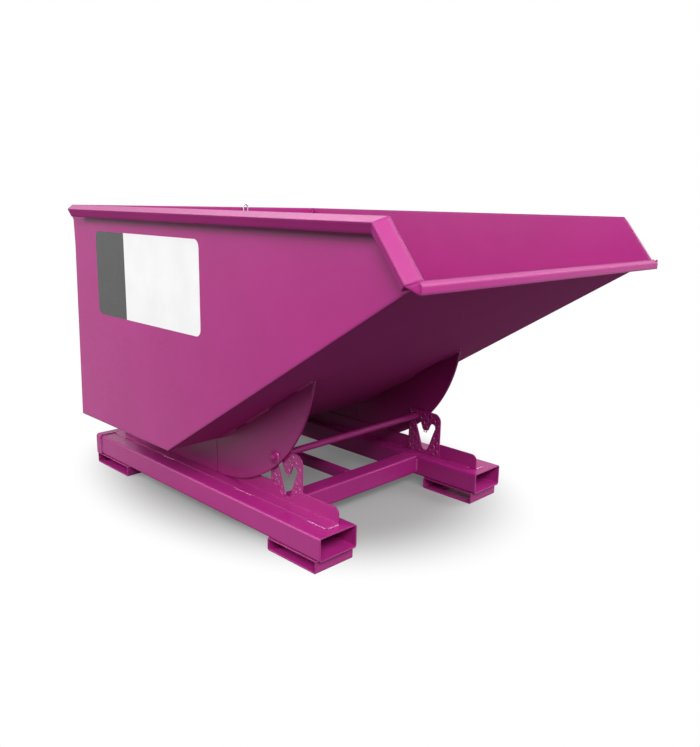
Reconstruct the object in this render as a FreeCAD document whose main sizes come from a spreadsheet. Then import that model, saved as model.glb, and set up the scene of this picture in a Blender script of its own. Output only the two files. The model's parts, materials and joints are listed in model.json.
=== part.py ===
import FreeCAD, Part
import math
import os
import re
import Sketcher

# Forklift tipping hopper: a rolling skip on a frame with two fork pockets
# Millimetres, +Z up, mouth towards -Y, origin on the floor below the middle of the overall box
# Sizes named ..._ahead and ..._behind count along Y from the line where the rockers touch the track at rest

SIZES = {
    # Fork tubes
    "tube_width": 200,
    "tube_height": 100,
    "tube_wall": 6,
    "tube_corner": 12,
    "tube_outside": 600,
    "tube_ahead": 808,
    "tube_behind": 930,
    # Collars round the rear ends of the tubes
    "collar_length": 46,
    "collar_wall": 4,
    # Feet, short box sections open sideways
    "foot_height": 55,
    "foot_wall": 6,
    "foot_corner": 9,
    "front_foot_length": 289,
    "front_foot_setback": 20,
    "rear_foot_length": 313,
    # Guide angles, whose flat legs are the rolling track
    "guide_leg": 65,
    "guide_rise": 70,
    "guide_wall": 5,
    "guide_outside": 463,
    "guide_ahead": 767,
    "guide_behind": 880,
    "guide_nose": 28,
    "notch_half_width": 92,
    "notch_floor_half_width": 12,
    "notch_floor_height": 14,
    # Slot brackets
    "bracket_wall": 6,
    "bracket_top_margin": 16.2,
    "bracket_before_slot": 91.3,
    "bracket_behind_slot": 107.7,
    "bracket_corner": 40,
    # Cross members and centre spine
    "member_depth": 90,
    "member_height": 90,
    "member_wall": 5,
    "member_corner": 10,
    "front_member_ahead": 453,
    "rear_member_behind": 870,
    "spine_width": 35,
    "spine_height": 50,
    "spine_corner": 6,
    "spine_wall": 4,
    # Rolling gear
    "rocker_radius": 638,
    "rocker_wall": 10,
    "rocker_gap": 2,
    "track_gap": 0.3,
    "runner_joint": 15,
    "runner_setback": 14,
    "bar_radius": 15,
    "bar_lowest": 35.3,
    "bar_end": 18,
    "bar_chamfer": 2,
    "boss_radius": 25,
    "boss_wall": 8,
    "slot_clearance": 2,
    "tip_angle": 72,
    "slot_run_on": 4,
    "slot_shortfall": 6.2,
    "tooth_half_width": 18,
    "tooth_rounding": 7,
    # Discs on the axis about which the hopper turns as it rolls
    "plug_radius": 8,
    "plug_wall": 1.5,
    "plug_gap": 0.3,
    # Hopper body
    "body_half_width": 755,
    "side_wall": 4,
    "floor_wall": 6,
    "slope_wall": 4,
    "back_wall": 6,
    "floor_height": 338,
    "floor_behind": 752,
    "fold_ahead": 23,
    "lip_ahead": 1374,
    "lip_height": 1173,
    "crest_ahead": 1239,
    "crest_rise": 177,
    "back_bend_drop": 185,
    "back_bend_behind": 721,
    "back_top_behind": 727,
    # Side rims
    "rim_out": 62,
    "rim_droop": 19,
    "rim_return_in": 20,
    "rim_return_down": 33,
    "rim_wall": 4,
    "rim_skew": 80,
    "rim_end_wall": 4,
    "rim_return_cut": 18,
    # Front lip
    "lip_forward": 18,
    "lip_drop": 11,
    "lip_depth": 38,
    "lip_wall": 4,
    "lip_bend": 7,
    "lip_overlap": 28,
    "lip_end_wall": 4,
    # Rear rim
    "rear_rim_out": 70,
    "rear_rim_droop": 18,
    "rear_rim_inset": 10,
    "rear_rim_wall": 4,
    "flare_radius": 121,
    "flare_foot_drop": 134,
    "weld_gap": 0.2,
    # Rear lock
    "pin_radius": 8,
    "pin_clearance": 0.1,
    "pin_head_radius": 13,
    "pin_head_wall": 5,
    "pin_tail": 14,
    "pin_nut_wall": 8,
    "pin_above_member": 55,
    "pin_behind": 805,
    "ear_wall": 8,
    "ear_radius": 22,
    "ear_foot": 58,
    "lock_side_gap": 0.5,
    "hook_wall": 12,
    "hook_boss_radius": 20,
    "hook_arm_width": 30,
    "jaw_depth": 20,
    "jaw_clearance": 2,
    "jaw_reach_angle": 15,
    "lock_open_angle": 45,
    "lever_wall": 8,
    "lever_length": 150,
    "lever_width": 28,
    "lever_hole": 8,
    "lever_angle": 50,
    "striker_radius": 10,
    "striker_behind": 728,
    "striker_below_floor": 62,
    "striker_lug_gap": 40,
    "striker_lug_wall": 10,
    "striker_lug_radius": 20,
    # Cable eye inside the top of the back
    "eye_rod": 5,
    "eye_half_width": 14,
    "eye_above_crest": 22,
    "eye_across": 240,
    "eye_leg_below": 62,
    # Made in excess so that cuts pass right through
    "overrun": 5,
}

# Places and lengths that follow from the sizes, in the order in which they are needed
PLACES = {
    # Levels and lines of the frame
    "contact_y": "(lip_ahead + lip_forward - tube_behind) / 2",
    "tube_top": "foot_height + tube_height",
    "tube_inside": "tube_outside - tube_width",
    "track_z": "tube_top + guide_wall",
    "guide_inside": "guide_outside - guide_wall",
    "guide_top": "tube_top + guide_rise",
    "member_low": "tube_top - member_height",
    "front_member_y": "contact_y - front_member_ahead",
    "rear_member_y": "contact_y + rear_member_behind - member_depth",
    # Rolling gear
    "rocker_inside": "guide_outside + rocker_gap",
    "rocker_outside": "rocker_inside + rocker_wall",
    "roll_z": "track_z + rocker_radius",
    "rocker_low": "track_z + track_gap",
    "rocker_edge_radius": "rocker_radius - track_gap",
    "joint_y": "contact_y + runner_joint",
    "bar_reach": "rocker_radius - bar_lowest",
    "bar_angle": "(tip_angle + slot_run_on + slot_shortfall) / 2",
    "bar_ahead": "bar_reach * sin(bar_angle)",
    "bar_above_track": "rocker_radius - bar_reach * cos(bar_angle)",
    "bar_z": "track_z + bar_above_track",
    "bar_y": "contact_y - bar_ahead",
    "bar_half_length": "rocker_outside + bar_end",
    "slot_middle_y": "contact_y - rocker_radius * (bar_angle * 1 deg / 1 rad)",
    "bracket_top": "bar_z + bar_radius + slot_clearance + bracket_top_margin",
    # Hopper body
    "crest_height": "lip_height + crest_rise",
    "back_bend_height": "crest_height - back_bend_drop",
    "side_inside": "body_half_width - side_wall",
    "floor_back_y": "contact_y + floor_behind",
    "floor_top": "floor_height + floor_wall",
    "fold_y": "contact_y - fold_ahead",
    "lip_y": "contact_y - lip_ahead",
    "crest_y": "contact_y - crest_ahead",
    "bend_y": "contact_y + back_bend_behind",
    "back_top_y": "contact_y + back_top_behind",
    "slope_angle": "atan2(lip_height - floor_height; lip_ahead - fold_ahead)",
    "lip_top_z": "lip_height + slope_wall / cos(slope_angle)",
    "fold_slide": "(floor_wall - slope_wall * cos(slope_angle)) / sin(slope_angle)",
    "fold_in_y": "fold_y + slope_wall * sin(slope_angle) - fold_slide * cos(slope_angle)",
    # Where the rocker's arc runs into the sloped plate
    "fold_drop": "roll_z - floor_height",
    "arc_advance": "fold_ahead * cos(slope_angle) - fold_drop * sin(slope_angle)",
    "arc_power": "pow(fold_ahead; 2) + pow(fold_drop; 2) - pow(rocker_edge_radius; 2)",
    "rocker_run": "sqrt(arc_advance * arc_advance - arc_power) - arc_advance",
    "rocker_tip_y": "fold_y - rocker_run * cos(slope_angle)",
    "rocker_tip_z": "floor_height + rocker_run * sin(slope_angle)",
    # Section of the side rims, seen along the edge that they follow
    "rim_edge_x": "body_half_width + rim_out",
    "rim_foot_x": "rim_edge_x - rim_return_in",
    "rim_foot_down": "rim_droop + rim_return_down",
    "rim_slant": "atan2(rim_droop; rim_out)",
    "rim_lean": "atan2(rim_return_in; rim_return_down)",
    "rim_mitre": "rim_wall / (1 + sin(rim_slant - rim_lean))",
    "rim_bend_x": "rim_edge_x - rim_mitre * (sin(rim_slant) + cos(rim_lean))",
    "rim_bend_down": "rim_droop + rim_mitre * (cos(rim_slant) - sin(rim_lean))",
    "mouth_angle": "atan2(crest_height - lip_top_z; lip_ahead - crest_ahead)",
    "rim_end_y": "lip_y + rim_droop * sin(mouth_angle)",
    "rim_end_z": "lip_top_z - rim_droop * cos(mouth_angle)",
    "rim_foot_share": "(rim_foot_x - body_half_width) / rim_out",
    "return_end_y": "back_top_y - rim_skew * rim_foot_share - rim_return_cut",
    # Front lip
    "lip_slant": "atan2(lip_drop; lip_forward)",
    "lip_front_y": "lip_y - lip_forward",
    "lip_bend_z": "lip_top_z - lip_drop",
    "lip_low_z": "lip_top_z - lip_depth",
    "lip_tangent": "lip_bend * cos(lip_slant) / (1 + sin(lip_slant))",
    "lip_arc_y": "lip_front_y + lip_tangent * cos(lip_slant)",
    "lip_arc_z": "lip_bend_z + lip_tangent * sin(lip_slant)",
    "lip_half_length": "body_half_width + lip_overlap",
    # Upright plate from each end of the lip to the outer corner of the side rim
    "lip_end_across": "rim_edge_x - lip_half_length",
    "lip_end_depth": "rim_end_y - lip_front_y",
    "lip_end_turn": "atan2(lip_end_depth; lip_end_across)",
    "lip_end_run": "sqrt(lip_end_across * lip_end_across + lip_end_depth * lip_end_depth)",
    "lip_end_start": "lip_end_wall * tan(lip_end_turn)",
    "lip_end_tip_z": "rim_end_z - lip_end_wall * cos(lip_end_turn) / tan(mouth_angle)",
    # Rear rim: a sloped strip, closed below by a plate bent tangent to the back
    "rear_half_length": "body_half_width - rear_rim_inset",
    "rear_slant": "atan2(rear_rim_droop; rear_rim_out)",
    "rear_edge_y": "back_top_y + rear_rim_out",
    "rear_edge_z": "crest_height - rear_rim_droop",
    "rear_under_z": "crest_height - rear_rim_wall / cos(rear_slant)",
    "flare_foot_height": "crest_height - flare_foot_drop",
    "back_share": "(flare_foot_height - back_bend_height) / (crest_height - back_bend_height)",
    "flare_outer": "flare_radius + rear_rim_wall",
    "flare_y": "bend_y + (back_top_y - bend_y) * back_share + weld_gap + flare_outer",
    "flare_rise": "(rear_under_z - flare_foot_height) * cos(rear_slant)"
                  " - (flare_y - back_top_y) * sin(rear_slant) - weld_gap",
    "flare_chord": "sqrt(flare_outer * flare_outer - flare_rise * flare_rise)",
    "flare_back": "flare_chord * cos(rear_slant) - flare_rise * sin(rear_slant)",
    "flare_up": "flare_rise * cos(rear_slant) + flare_chord * sin(rear_slant)",
    "flare_ratio": "flare_radius / flare_outer",
    # Rear lock, whose hook closes behind and over the striker
    "pin_y": "contact_y + pin_behind",
    "pin_z": "tube_top + pin_above_member",
    "striker_y": "contact_y + striker_behind",
    "striker_z": "floor_height - striker_below_floor",
    "lock_half_width": "(hook_wall + lever_wall) / 2",
    "ear_inside": "lock_half_width + lock_side_gap",
    "ear_outside": "ear_inside + ear_wall",
    "lock_reach": "sqrt(pow(pin_y - striker_y; 2) + pow(striker_z - pin_z; 2))",
    "lock_angle": "atan2(striker_z - pin_z; striker_y - pin_y) / 1 deg",
    "jaw_inner": "lock_reach + striker_radius + jaw_clearance",
    "jaw_outer": "jaw_inner + jaw_depth",
    "jaw_end_angle": "lock_angle + jaw_reach_angle",
    "arm_angle": "lock_angle - asin((striker_radius + jaw_clearance) / lock_reach) / 1 deg",
    "arm_back_angle": "arm_angle - 2 * asin(hook_arm_width / (2 * jaw_outer)) / 1 deg",
    "striker_half_gap": "striker_lug_gap / 2",
    "striker_half_length": "striker_half_gap + striker_lug_wall",
    # Cable eye, whose legs stand upright and touch the leaning back with their lower ends
    "back_lean": "(back_top_y - bend_y) / (crest_height - back_bend_height)",
    "eye_y": "back_top_y - back_wall - back_lean * eye_leg_below - eye_rod",
    "eye_top_z": "crest_height + eye_above_crest - eye_rod",
    "eye_arch_z": "eye_top_z - eye_half_width",
    "eye_low_z": "crest_height - eye_leg_below",
}

# Counts of arcs along the curves of the slot, and of halvings in the search for its tooth
OUTER_ARCS = 8
INNER_ARCS = 3
SEARCH_STEPS = 50

# Counts of flats on the nut and the eye's rod, and of straight runs over the eye's arch
NUT_FLATS = 6
ROD_FLATS = 8
ARCH_RUNS = 4

doc = FreeCAD.newDocument("TippingHopper")
pieces = []


def fill_sheet(name, cells, start):
    sheet = doc.addObject("Spreadsheet::Sheet", name)
    for row, (alias, content) in enumerate(cells.items(), start=1):
        sheet.set("A%d" % row, alias)
        sheet.set("B%d" % row, start + str(content))
        sheet.setAlias("B%d" % row, alias)
        doc.recompute([sheet])
    return sheet


def bound(text):
    """Name the sheet of each size and place in an expression."""

    def with_sheet(found):
        word = found.group(0)
        if word in SIZES:
            return "Sizes." + word
        if word in PLACES:
            return "Places." + word
        return word

    return re.sub(r"[a-z][a-z0-9_]*", with_sheet, text)


def value(text):
    result = sizes.evalExpression(bound(text))
    return float(getattr(result, "Value", result))


sizes = fill_sheet("Sizes", SIZES, "")
fill_sheet("Places", {name: bound(text) for name, text in PLACES.items()}, "=")


def less(text):
    return "-(" + text + ")"


def plus(first, second):
    return "(" + first + ") + (" + second + ")"


def minus(first, second):
    return "(" + first + ") - (" + second + ")"


def on_side(side, near, far):
    """Low and high X of something between two distances from the middle, on the left or the right."""
    if side == "right":
        return near, far
    return less(far), less(near)


def at_side(side, distance):
    return distance if side == "right" else less(distance)


def new_body(name):
    body = doc.addObject("PartDesign::Body", name)
    body.Label = name
    return body


def keep(piece):
    pieces.append(piece)
    return piece


def new_sketch(body, name, role, offset="0"):
    plane = next(item for item in body.Origin.OriginFeatures if item.Role == role)
    sketch = body.newObject("Sketcher::SketchObject", name)
    sketch.AttachmentSupport = [(plane, "")]
    sketch.MapMode = "FlatFace"
    sketch.setExpression("AttachmentOffset.Base.z", bound(offset))
    return sketch


def hold(sketch, kind, geometry, point, amount):
    place = sketch.addConstraint(Sketcher.Constraint(kind, -1, 1, geometry, point, value(amount)))
    sketch.setExpression("Constraints[%d]" % place, bound(amount))


def arc_between(start, end, radius, turn):
    """Arc shorter than a half circle; turn is 1 to bear left and -1 to bear right."""
    chord = end - start
    left = FreeCAD.Vector(-chord.y, chord.x, 0).normalize()
    rise = math.sqrt(max(radius * radius - chord.Length * chord.Length / 4, 0))
    centre = (start + end) / 2 + left * (rise * turn)
    first, last = (start, end) if turn > 0 else (end, start)
    angles = [math.atan2(point.y - centre.y, point.x - centre.x) for point in (first, last)]
    return Part.ArcOfCircle(Part.Circle(centre, FreeCAD.Vector(0, 0, 1), radius), *angles)


def draw(sketch, corners):
    """Closed outline; a corner with a radius and a turn is reached along an arc."""
    begin = sketch.GeometryCount
    points = [FreeCAD.Vector(value(corner[0]), value(corner[1]), 0) for corner in corners]
    enter = []
    leave = []
    for index, corner in enumerate(corners):
        turn = corner[3] if len(corner) > 2 else 0
        enter.append(2 if turn < 0 else 1)
        leave.append(1 if turn < 0 else 2)
        if turn:
            sketch.addGeometry(arc_between(points[index - 1], points[index], value(corner[2]), turn))
            place = sketch.addConstraint(Sketcher.Constraint("Radius", begin + index, value(corner[2])))
            sketch.setExpression("Constraints[%d]" % place, bound(corner[2]))
        else:
            sketch.addGeometry(Part.LineSegment(points[index - 1], points[index]))
    for index, corner in enumerate(corners):
        after = (index + 1) % len(corners)
        joined = Sketcher.Constraint("Coincident", begin + index, leave[index], begin + after, enter[after])
        sketch.addConstraint(joined)
        hold(sketch, "DistanceX", begin + index, leave[index], corner[0])
        hold(sketch, "DistanceY", begin + index, leave[index], corner[1])


def draw_rectangle(sketch, left, low, right, top, corner=None):
    if corner is None:
        draw(sketch, [(left, low), (right, low), (right, top), (left, top)])
        return
    draw(sketch, [
        (plus(left, corner), low, corner, 1),
        (minus(right, corner), low),
        (right, plus(low, corner), corner, 1),
        (right, minus(top, corner)),
        (minus(right, corner), top, corner, 1),
        (plus(left, corner), top),
        (left, minus(top, corner), corner, 1),
        (left, plus(low, corner)),
    ])


def draw_box_section(sketch, left, low, right, top, corner, wall, square_inside=False):
    """Hollow section; where its ends are closed by what it joins, it may be square inside."""
    draw_rectangle(sketch, left, low, right, top, corner)
    inner = [plus(left, wall), plus(low, wall), minus(right, wall), minus(top, wall)]
    draw_rectangle(sketch, *inner, None if square_inside else minus(corner, wall))


def draw_circle(sketch, across, up, radius):
    centre = FreeCAD.Vector(value(across), value(up), 0)
    index = sketch.addGeometry(Part.Circle(centre, FreeCAD.Vector(0, 0, 1), value(radius)))
    place = sketch.addConstraint(Sketcher.Constraint("Radius", index, value(radius)))
    sketch.setExpression("Constraints[%d]" % place, bound(radius))
    hold(sketch, "DistanceX", index, 3, across)
    hold(sketch, "DistanceY", index, 3, up)


def pad(body, sketch, length):
    feature = body.newObject("PartDesign::Pad", body.Name + "_pad")
    feature.Profile = sketch
    feature.setExpression("Length", bound(length))
    return feature


def cut_through(body, name, role, draw_outline):
    """Pocket that passes right through the piece on both sides of an origin plane."""
    sketch = new_sketch(body, body.Name + "_" + name + "_sketch", role)
    draw_outline(sketch)
    pocket = body.newObject("PartDesign::Pocket", body.Name + "_" + name)
    pocket.Profile = sketch
    pocket.Type = "ThroughAll"
    pocket.Midplane = True
    return pocket


def plate(name, near, thickness, corners, holes=()):
    """Flat plate square to X, from X = near, outlined in Y and Z, with round holes."""
    body = new_body(name)
    sketch = new_sketch(body, name + "_outline", "YZ_Plane", near)
    draw(sketch, corners)
    for hole in holes:
        draw_circle(sketch, *hole)
    pad(body, sketch, thickness)
    return body


def side_plate_of(side, name, near, wall, corners, holes=()):
    low = on_side(side, near, plus(near, wall))[0]
    return plate(name + "_" + side, low, wall, corners, holes)


def rod(name, start_x, length, y, z, radius):
    cylinder = doc.addObject("Part::Cylinder", name)
    cylinder.Label = name
    cylinder.Placement = FreeCAD.Placement(FreeCAD.Vector(), FreeCAD.Rotation(FreeCAD.Vector(0, 1, 0), 90))
    cylinder.setExpression("Radius", bound(radius))
    cylinder.setExpression("Height", bound(length))
    cylinder.setExpression("Placement.Base.x", bound(start_x))
    cylinder.setExpression("Placement.Base.y", bound(y))
    cylinder.setExpression("Placement.Base.z", bound(z))
    return cylinder


def polar(radius, angle):
    return "(%s) * cos(%s)" % (radius, angle), "(%s) * sin(%s)" % (radius, angle)


def regular_corners(radius, flats, first=0):
    """Corners of a regular outline, the first at an angle in degrees."""
    return [polar(radius, "%g" % (first + 360 * index / flats)) for index in range(flats)]


# Frame
def make_fork_tube(side):
    body = new_body("fork_tube_" + side)
    sketch = new_sketch(body, body.Name + "_section", "XZ_Plane", less("contact_y + tube_behind"))
    left, right = on_side(side, "tube_inside", "tube_outside")
    draw_box_section(sketch, left, "foot_height", right, "tube_top", "tube_corner", "tube_wall")
    pad(body, sketch, "tube_behind + tube_ahead")
    return body


def make_collar(side):
    """Saddle over the rear end of a tube, open below where the foot is."""
    body = new_body("pocket_collar_" + side)
    sketch = new_sketch(body, body.Name + "_section", "XZ_Plane", less("contact_y + tube_behind"))
    left, right = on_side(side, "tube_inside", "tube_outside")
    bend = "tube_corner + collar_wall"
    shoulder = "tube_top - tube_corner"
    draw(sketch, [
        (minus(left, "collar_wall"), "foot_height"),
        (minus(left, "collar_wall"), shoulder),
        (plus(left, "tube_corner"), "tube_top + collar_wall", bend, -1),
        (minus(right, "tube_corner"), "tube_top + collar_wall"),
        (plus(right, "collar_wall"), shoulder, bend, -1),
        (plus(right, "collar_wall"), "foot_height"),
        (right, "foot_height"),
        (right, shoulder),
        (minus(right, "tube_corner"), "tube_top", "tube_corner", 1),
        (plus(left, "tube_corner"), "tube_top"),
        (left, shoulder, "tube_corner", 1),
        (left, "foot_height"),
    ])
    pad(body, sketch, "collar_length")
    return body


def make_foot(side, end, front_y, length):
    low = on_side(side, "tube_inside", "tube_outside")[0]
    body = new_body("foot_%s_%s" % (end, side))
    sketch = new_sketch(body, body.Name + "_section", "YZ_Plane", low)
    draw_box_section(sketch, front_y, "0", plus(front_y, length), "foot_height", "foot_corner", "foot_wall")
    pad(body, sketch, "tube_width")
    return body


def edge_near(shape, x, y, z):
    """Name of the edge whose middle is nearest to a point."""
    point = Part.Vertex(value(x), value(y), value(z))
    distances = [edge.distToShape(point)[0] for edge in shape.Edges]
    return "Edge%d" % (distances.index(min(distances)) + 1)


def make_guide_angle(side):
    """Angle whose flat leg is the track and whose upright leg dips in a V below the slot."""
    body = new_body("guide_angle_" + side)
    sketch = new_sketch(body, body.Name + "_section", "XZ_Plane", less("contact_y + guide_behind"))
    inner = at_side(side, "guide_inside")
    outer = at_side(side, "guide_outside")
    edge = at_side(side, "guide_inside + guide_leg")
    draw(sketch, [
        (inner, "tube_top"),
        (edge, "tube_top"),
        (edge, "track_z"),
        (outer, "track_z"),
        (outer, "guide_top"),
        (inner, "guide_top"),
    ])
    length = pad(body, sketch, "guide_behind + guide_ahead")
    doc.recompute()
    nose = body.newObject("PartDesign::Fillet", body.Name + "_nose")
    middle = at_side(side, "guide_outside - guide_wall / 2")
    nose.Base = (length, [edge_near(length.Shape, middle, "contact_y - guide_ahead", "guide_top")])
    nose.setExpression("Radius", bound("guide_nose"))
    cut_through(body, "notch", "YZ_Plane", lambda sketch: draw(sketch, [
        (minus("slot_middle_y", "notch_half_width"), "guide_top"),
        (minus("slot_middle_y", "notch_floor_half_width"), "track_z + notch_floor_height"),
        (plus("slot_middle_y", "notch_floor_half_width"), "track_z + notch_floor_height"),
        (plus("slot_middle_y", "notch_half_width"), "guide_top"),
        (plus("slot_middle_y", "notch_half_width"), "guide_top + overrun"),
        (minus("slot_middle_y", "notch_half_width"), "guide_top + overrun"),
    ]))
    return body


def heart_slot_shape():
    """Solid of the heart-shaped slot: the path of the cross bar as the rockers roll, widened to the
    bar and its clearance, with a rounded tooth between the two arms."""
    radius = value("rocker_radius")
    start_angle = math.radians(value("bar_angle"))
    reach = value("bar_reach")
    half_width = value("bar_radius + slot_clearance")
    last_angle = math.radians(value("tip_angle + slot_run_on"))

    def spot(ahead, height):
        x = value("guide_inside - bracket_wall - overrun")
        return FreeCAD.Vector(x, value("contact_y") - ahead, value("track_z") + height)

    def beside(angle, offset):
        """Point at an offset from the bar's path, towards the tooth where it is positive."""
        turn = start_angle - angle
        ahead = radius * angle + reach * math.sin(turn)
        height = radius - reach * math.cos(turn)
        speed = math.hypot(height, reach * math.sin(turn))
        return ahead + offset * reach * math.sin(turn) / speed, height + offset * height / speed

    def past_end(angle, sense):
        turn = start_angle - angle
        middle = beside(angle, 0)
        height = radius - reach * math.cos(turn)
        speed = math.hypot(height, reach * math.sin(turn))
        along = sense * half_width / speed
        return middle[0] + along * height, middle[1] - along * reach * math.sin(turn)

    def arc(first, middle, last):
        return Part.Arc(spot(*first), spot(*middle), spot(*last)).toShape()

    def curve(first, last, offset, count):
        """Chain of arcs that meet the offset path at their ends and middles."""
        halves = 2 * count
        steps = [beside(first + (last - first) * half / halves, offset) for half in range(halves + 1)]
        return [arc(*steps[start:start + 3]) for start in range(0, halves, 2)]

    axis = radius * start_angle
    near = 0
    far = start_angle
    for _ in range(SEARCH_STEPS):
        angle = (near + far) / 2
        if axis - beside(angle, half_width)[0] > value("tooth_half_width"):
            near = angle
        else:
            far = angle
    mirrored = start_angle * 2 - near
    tooth_rear = beside(near, half_width)
    tooth_front = beside(mirrored, half_width)
    tooth_tip = (axis, tooth_rear[1] - value("tooth_rounding"))
    edges = [
        *curve(0, last_angle, -half_width, OUTER_ARCS),
        arc(beside(last_angle, -half_width), past_end(last_angle, 1), beside(last_angle, half_width)),
        *curve(last_angle, mirrored, half_width, INNER_ARCS),
        arc(tooth_front, tooth_tip, tooth_rear),
        *curve(near, 0, half_width, INNER_ARCS),
        arc(beside(0, half_width), past_end(0, -1), beside(0, -half_width)),
    ]
    face = Part.Face(Part.Wire(Part.__sortEdges__(edges)))
    return face.extrude(FreeCAD.Vector(value("bracket_wall + overrun + overrun"), 0, 0))


def make_slot_bracket(side):
    front = "slot_middle_y - bracket_before_slot"
    rear = "slot_middle_y + bracket_behind_slot"
    top = "bracket_top"
    low = on_side(side, "guide_inside - bracket_wall", "guide_inside")[0]
    blank = plate("slot_bracket_blank_" + side, low, "bracket_wall", [
        (front, "tube_top"),
        (rear, "tube_top"),
        (rear, top),
        (plus(front, "bracket_corner"), top),
        (front, minus(top, "bracket_corner"), "bracket_corner", 1),
    ])
    slot = doc.addObject("Part::Feature", "heart_slot_" + side)
    slot.Shape = heart_slot_shape()
    if side == "left":
        slot.setExpression("Placement.Base.x", bound(less("2 * guide_inside - bracket_wall")))
    bracket = doc.addObject("Part::Cut", "slot_bracket_" + side)
    bracket.Label = "slot_bracket_" + side
    bracket.Base = blank
    bracket.Tool = slot
    return bracket


def make_cross_member(name, front_y):
    body = new_body(name)
    sketch = new_sketch(body, name + "_section", "YZ_Plane", less("tube_inside"))
    rear_y = plus(front_y, "member_depth")
    corners = (front_y, "member_low", rear_y, "tube_top")
    draw_box_section(sketch, *corners, "member_corner", "member_wall", True)
    pad(body, sketch, "tube_inside * 2")
    return body


def make_centre_spine():
    body = new_body("centre_spine")
    sketch = new_sketch(body, "centre_spine_section", "XZ_Plane", less("rear_member_y"))
    half = "spine_width / 2"
    low = "tube_top - spine_height"
    draw_box_section(sketch, less(half), low, half, "tube_top", "spine_corner", "spine_wall", True)
    pad(body, sketch, "rear_member_y - front_member_y - member_depth")
    return body


# Rear lock
def make_latch_ear(side):
    return side_plate_of(side, "latch_ear", "ear_inside", "ear_wall", [
        ("pin_y + ear_foot", "tube_top"),
        ("pin_y + ear_radius", "pin_z"),
        ("pin_y", "pin_z + ear_radius", "ear_radius", 1),
        ("pin_y - ear_radius", "pin_z", "ear_radius", 1),
        ("pin_y - ear_radius", "tube_top"),
    ], [("pin_y", "pin_z", "pin_radius")])


def make_latch_pin():
    centre = ("pin_y", "pin_z")
    shank = rod("latch_pin_shank", less("ear_outside"), "ear_outside * 2 + pin_tail", *centre, "pin_radius")
    head_start = less("ear_outside + pin_head_wall")
    head = rod("latch_pin_head", head_start, "pin_head_wall", *centre, "pin_head_radius")
    pin = doc.addObject("Part::Fuse", "latch_pin")
    pin.Label = "latch_pin"
    pin.Base = shank
    pin.Tool = head
    return pin


def make_latch_pin_nut():
    corners = regular_corners("pin_head_radius", NUT_FLATS)
    outline = [(plus("pin_y", along), plus("pin_z", up)) for along, up in corners]
    bore = ("pin_y", "pin_z", "pin_radius")
    return plate("latch_pin_nut", "ear_outside", "pin_nut_wall", outline, [bore])


def turned_about_pin(body, angle):
    """Stand a lock piece, drawn about its own bore, on the pin and turn it about X."""
    body.Placement = FreeCAD.Placement(FreeCAD.Vector(), FreeCAD.Rotation(FreeCAD.Vector(1, 0, 0), 1))
    body.setExpression("Placement.Base.y", bound("pin_y"))
    body.setExpression("Placement.Base.z", bound("pin_z"))
    body.setExpression("Placement.Rotation.Angle", bound(angle))


def make_latch_hook():
    """Hook drawn closed: a jaw concentric with the pin reaches over the striker from behind."""
    boss = [polar("hook_boss_radius", "arm_angle + %d" % turn) for turn in (90, 180, 270)]
    body = plate("latch_hook", less("lock_half_width"), "hook_wall", [
        polar("jaw_inner", "jaw_end_angle"),
        polar("jaw_inner", "arm_angle") + ("jaw_inner", -1),
        polar("hook_boss_radius", "arm_angle"),
        boss[0] + ("hook_boss_radius", 1),
        boss[1] + ("hook_boss_radius", 1),
        boss[2] + ("hook_boss_radius", 1),
        polar("jaw_outer", "arm_back_angle"),
        polar("jaw_outer", "jaw_end_angle") + ("jaw_outer", 1),
    ], [("0", "0", "pin_radius + pin_clearance")])
    turned_about_pin(body, less("lock_open_angle"))
    return body


def make_release_lever():
    """Tapered lever beside the hook, with a hole at its end for the release cable."""
    boss = "hook_boss_radius"
    end = "lever_width / 2"
    body = plate("release_lever", "hook_wall - lock_half_width", "lever_wall", [
        ("lever_length", end),
        ("lever_length + " + end, "0", end, -1),
        ("lever_length", less(end), end, -1),
        ("0", less(boss)),
        (less(boss), "0", boss, -1),
        ("0", boss, boss, -1),
    ], [("0", "0", "pin_radius + pin_clearance"), ("lever_length", "0", "lever_hole")])
    turned_about_pin(body, "lever_angle")
    return body


# Hopper
def make_roll_plug(side):
    """Small disc in a recess of the side plate, on the axis about which the hopper turns."""
    near = on_side(side, "side_inside", "side_inside + plug_wall")[0]
    return rod("roll_plug_" + side, near, "plug_wall", "contact_y", "roll_z", "plug_radius")


def make_side_plate(side):
    body = side_plate_of(side, "side_plate", "side_inside", "side_wall", [
        ("floor_back_y", "floor_height"),
        ("floor_back_y", "floor_top"),
        ("bend_y", "back_bend_height"),
        ("back_top_y", "crest_height"),
        ("crest_y", "crest_height"),
        ("lip_y", "lip_top_z"),
        ("lip_y", "lip_height"),
        ("fold_y", "floor_height"),
    ])
    doc.recompute()
    before = body.Shape.Volume
    sketch = new_sketch(body, body.Name + "_recess_sketch", "YZ_Plane", at_side(side, "side_inside"))
    draw_circle(sketch, "contact_y", "roll_z", "plug_radius + plug_gap")
    recess = body.newObject("PartDesign::Pocket", body.Name + "_recess")
    recess.Profile = sketch
    recess.Reversed = side == "right"
    recess.setExpression("Length", bound("plug_wall + plug_gap"))
    doc.recompute()
    if not body.Shape.Volume < before:
        raise RuntimeError("the recess missed " + body.Label)
    return body


def make_floor_plate():
    return plate("floor_plate", less("side_inside"), "side_inside * 2", [
        ("fold_y", "floor_height"),
        ("floor_back_y", "floor_height"),
        ("floor_back_y", "floor_top"),
        ("fold_in_y", "floor_top"),
    ])


def make_slope_plate():
    return plate("slope_plate", less("side_inside"), "side_inside * 2", [
        ("fold_y", "floor_height"),
        ("fold_in_y", "floor_top"),
        ("lip_y", "lip_top_z"),
        ("lip_y", "lip_height"),
    ])


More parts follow.
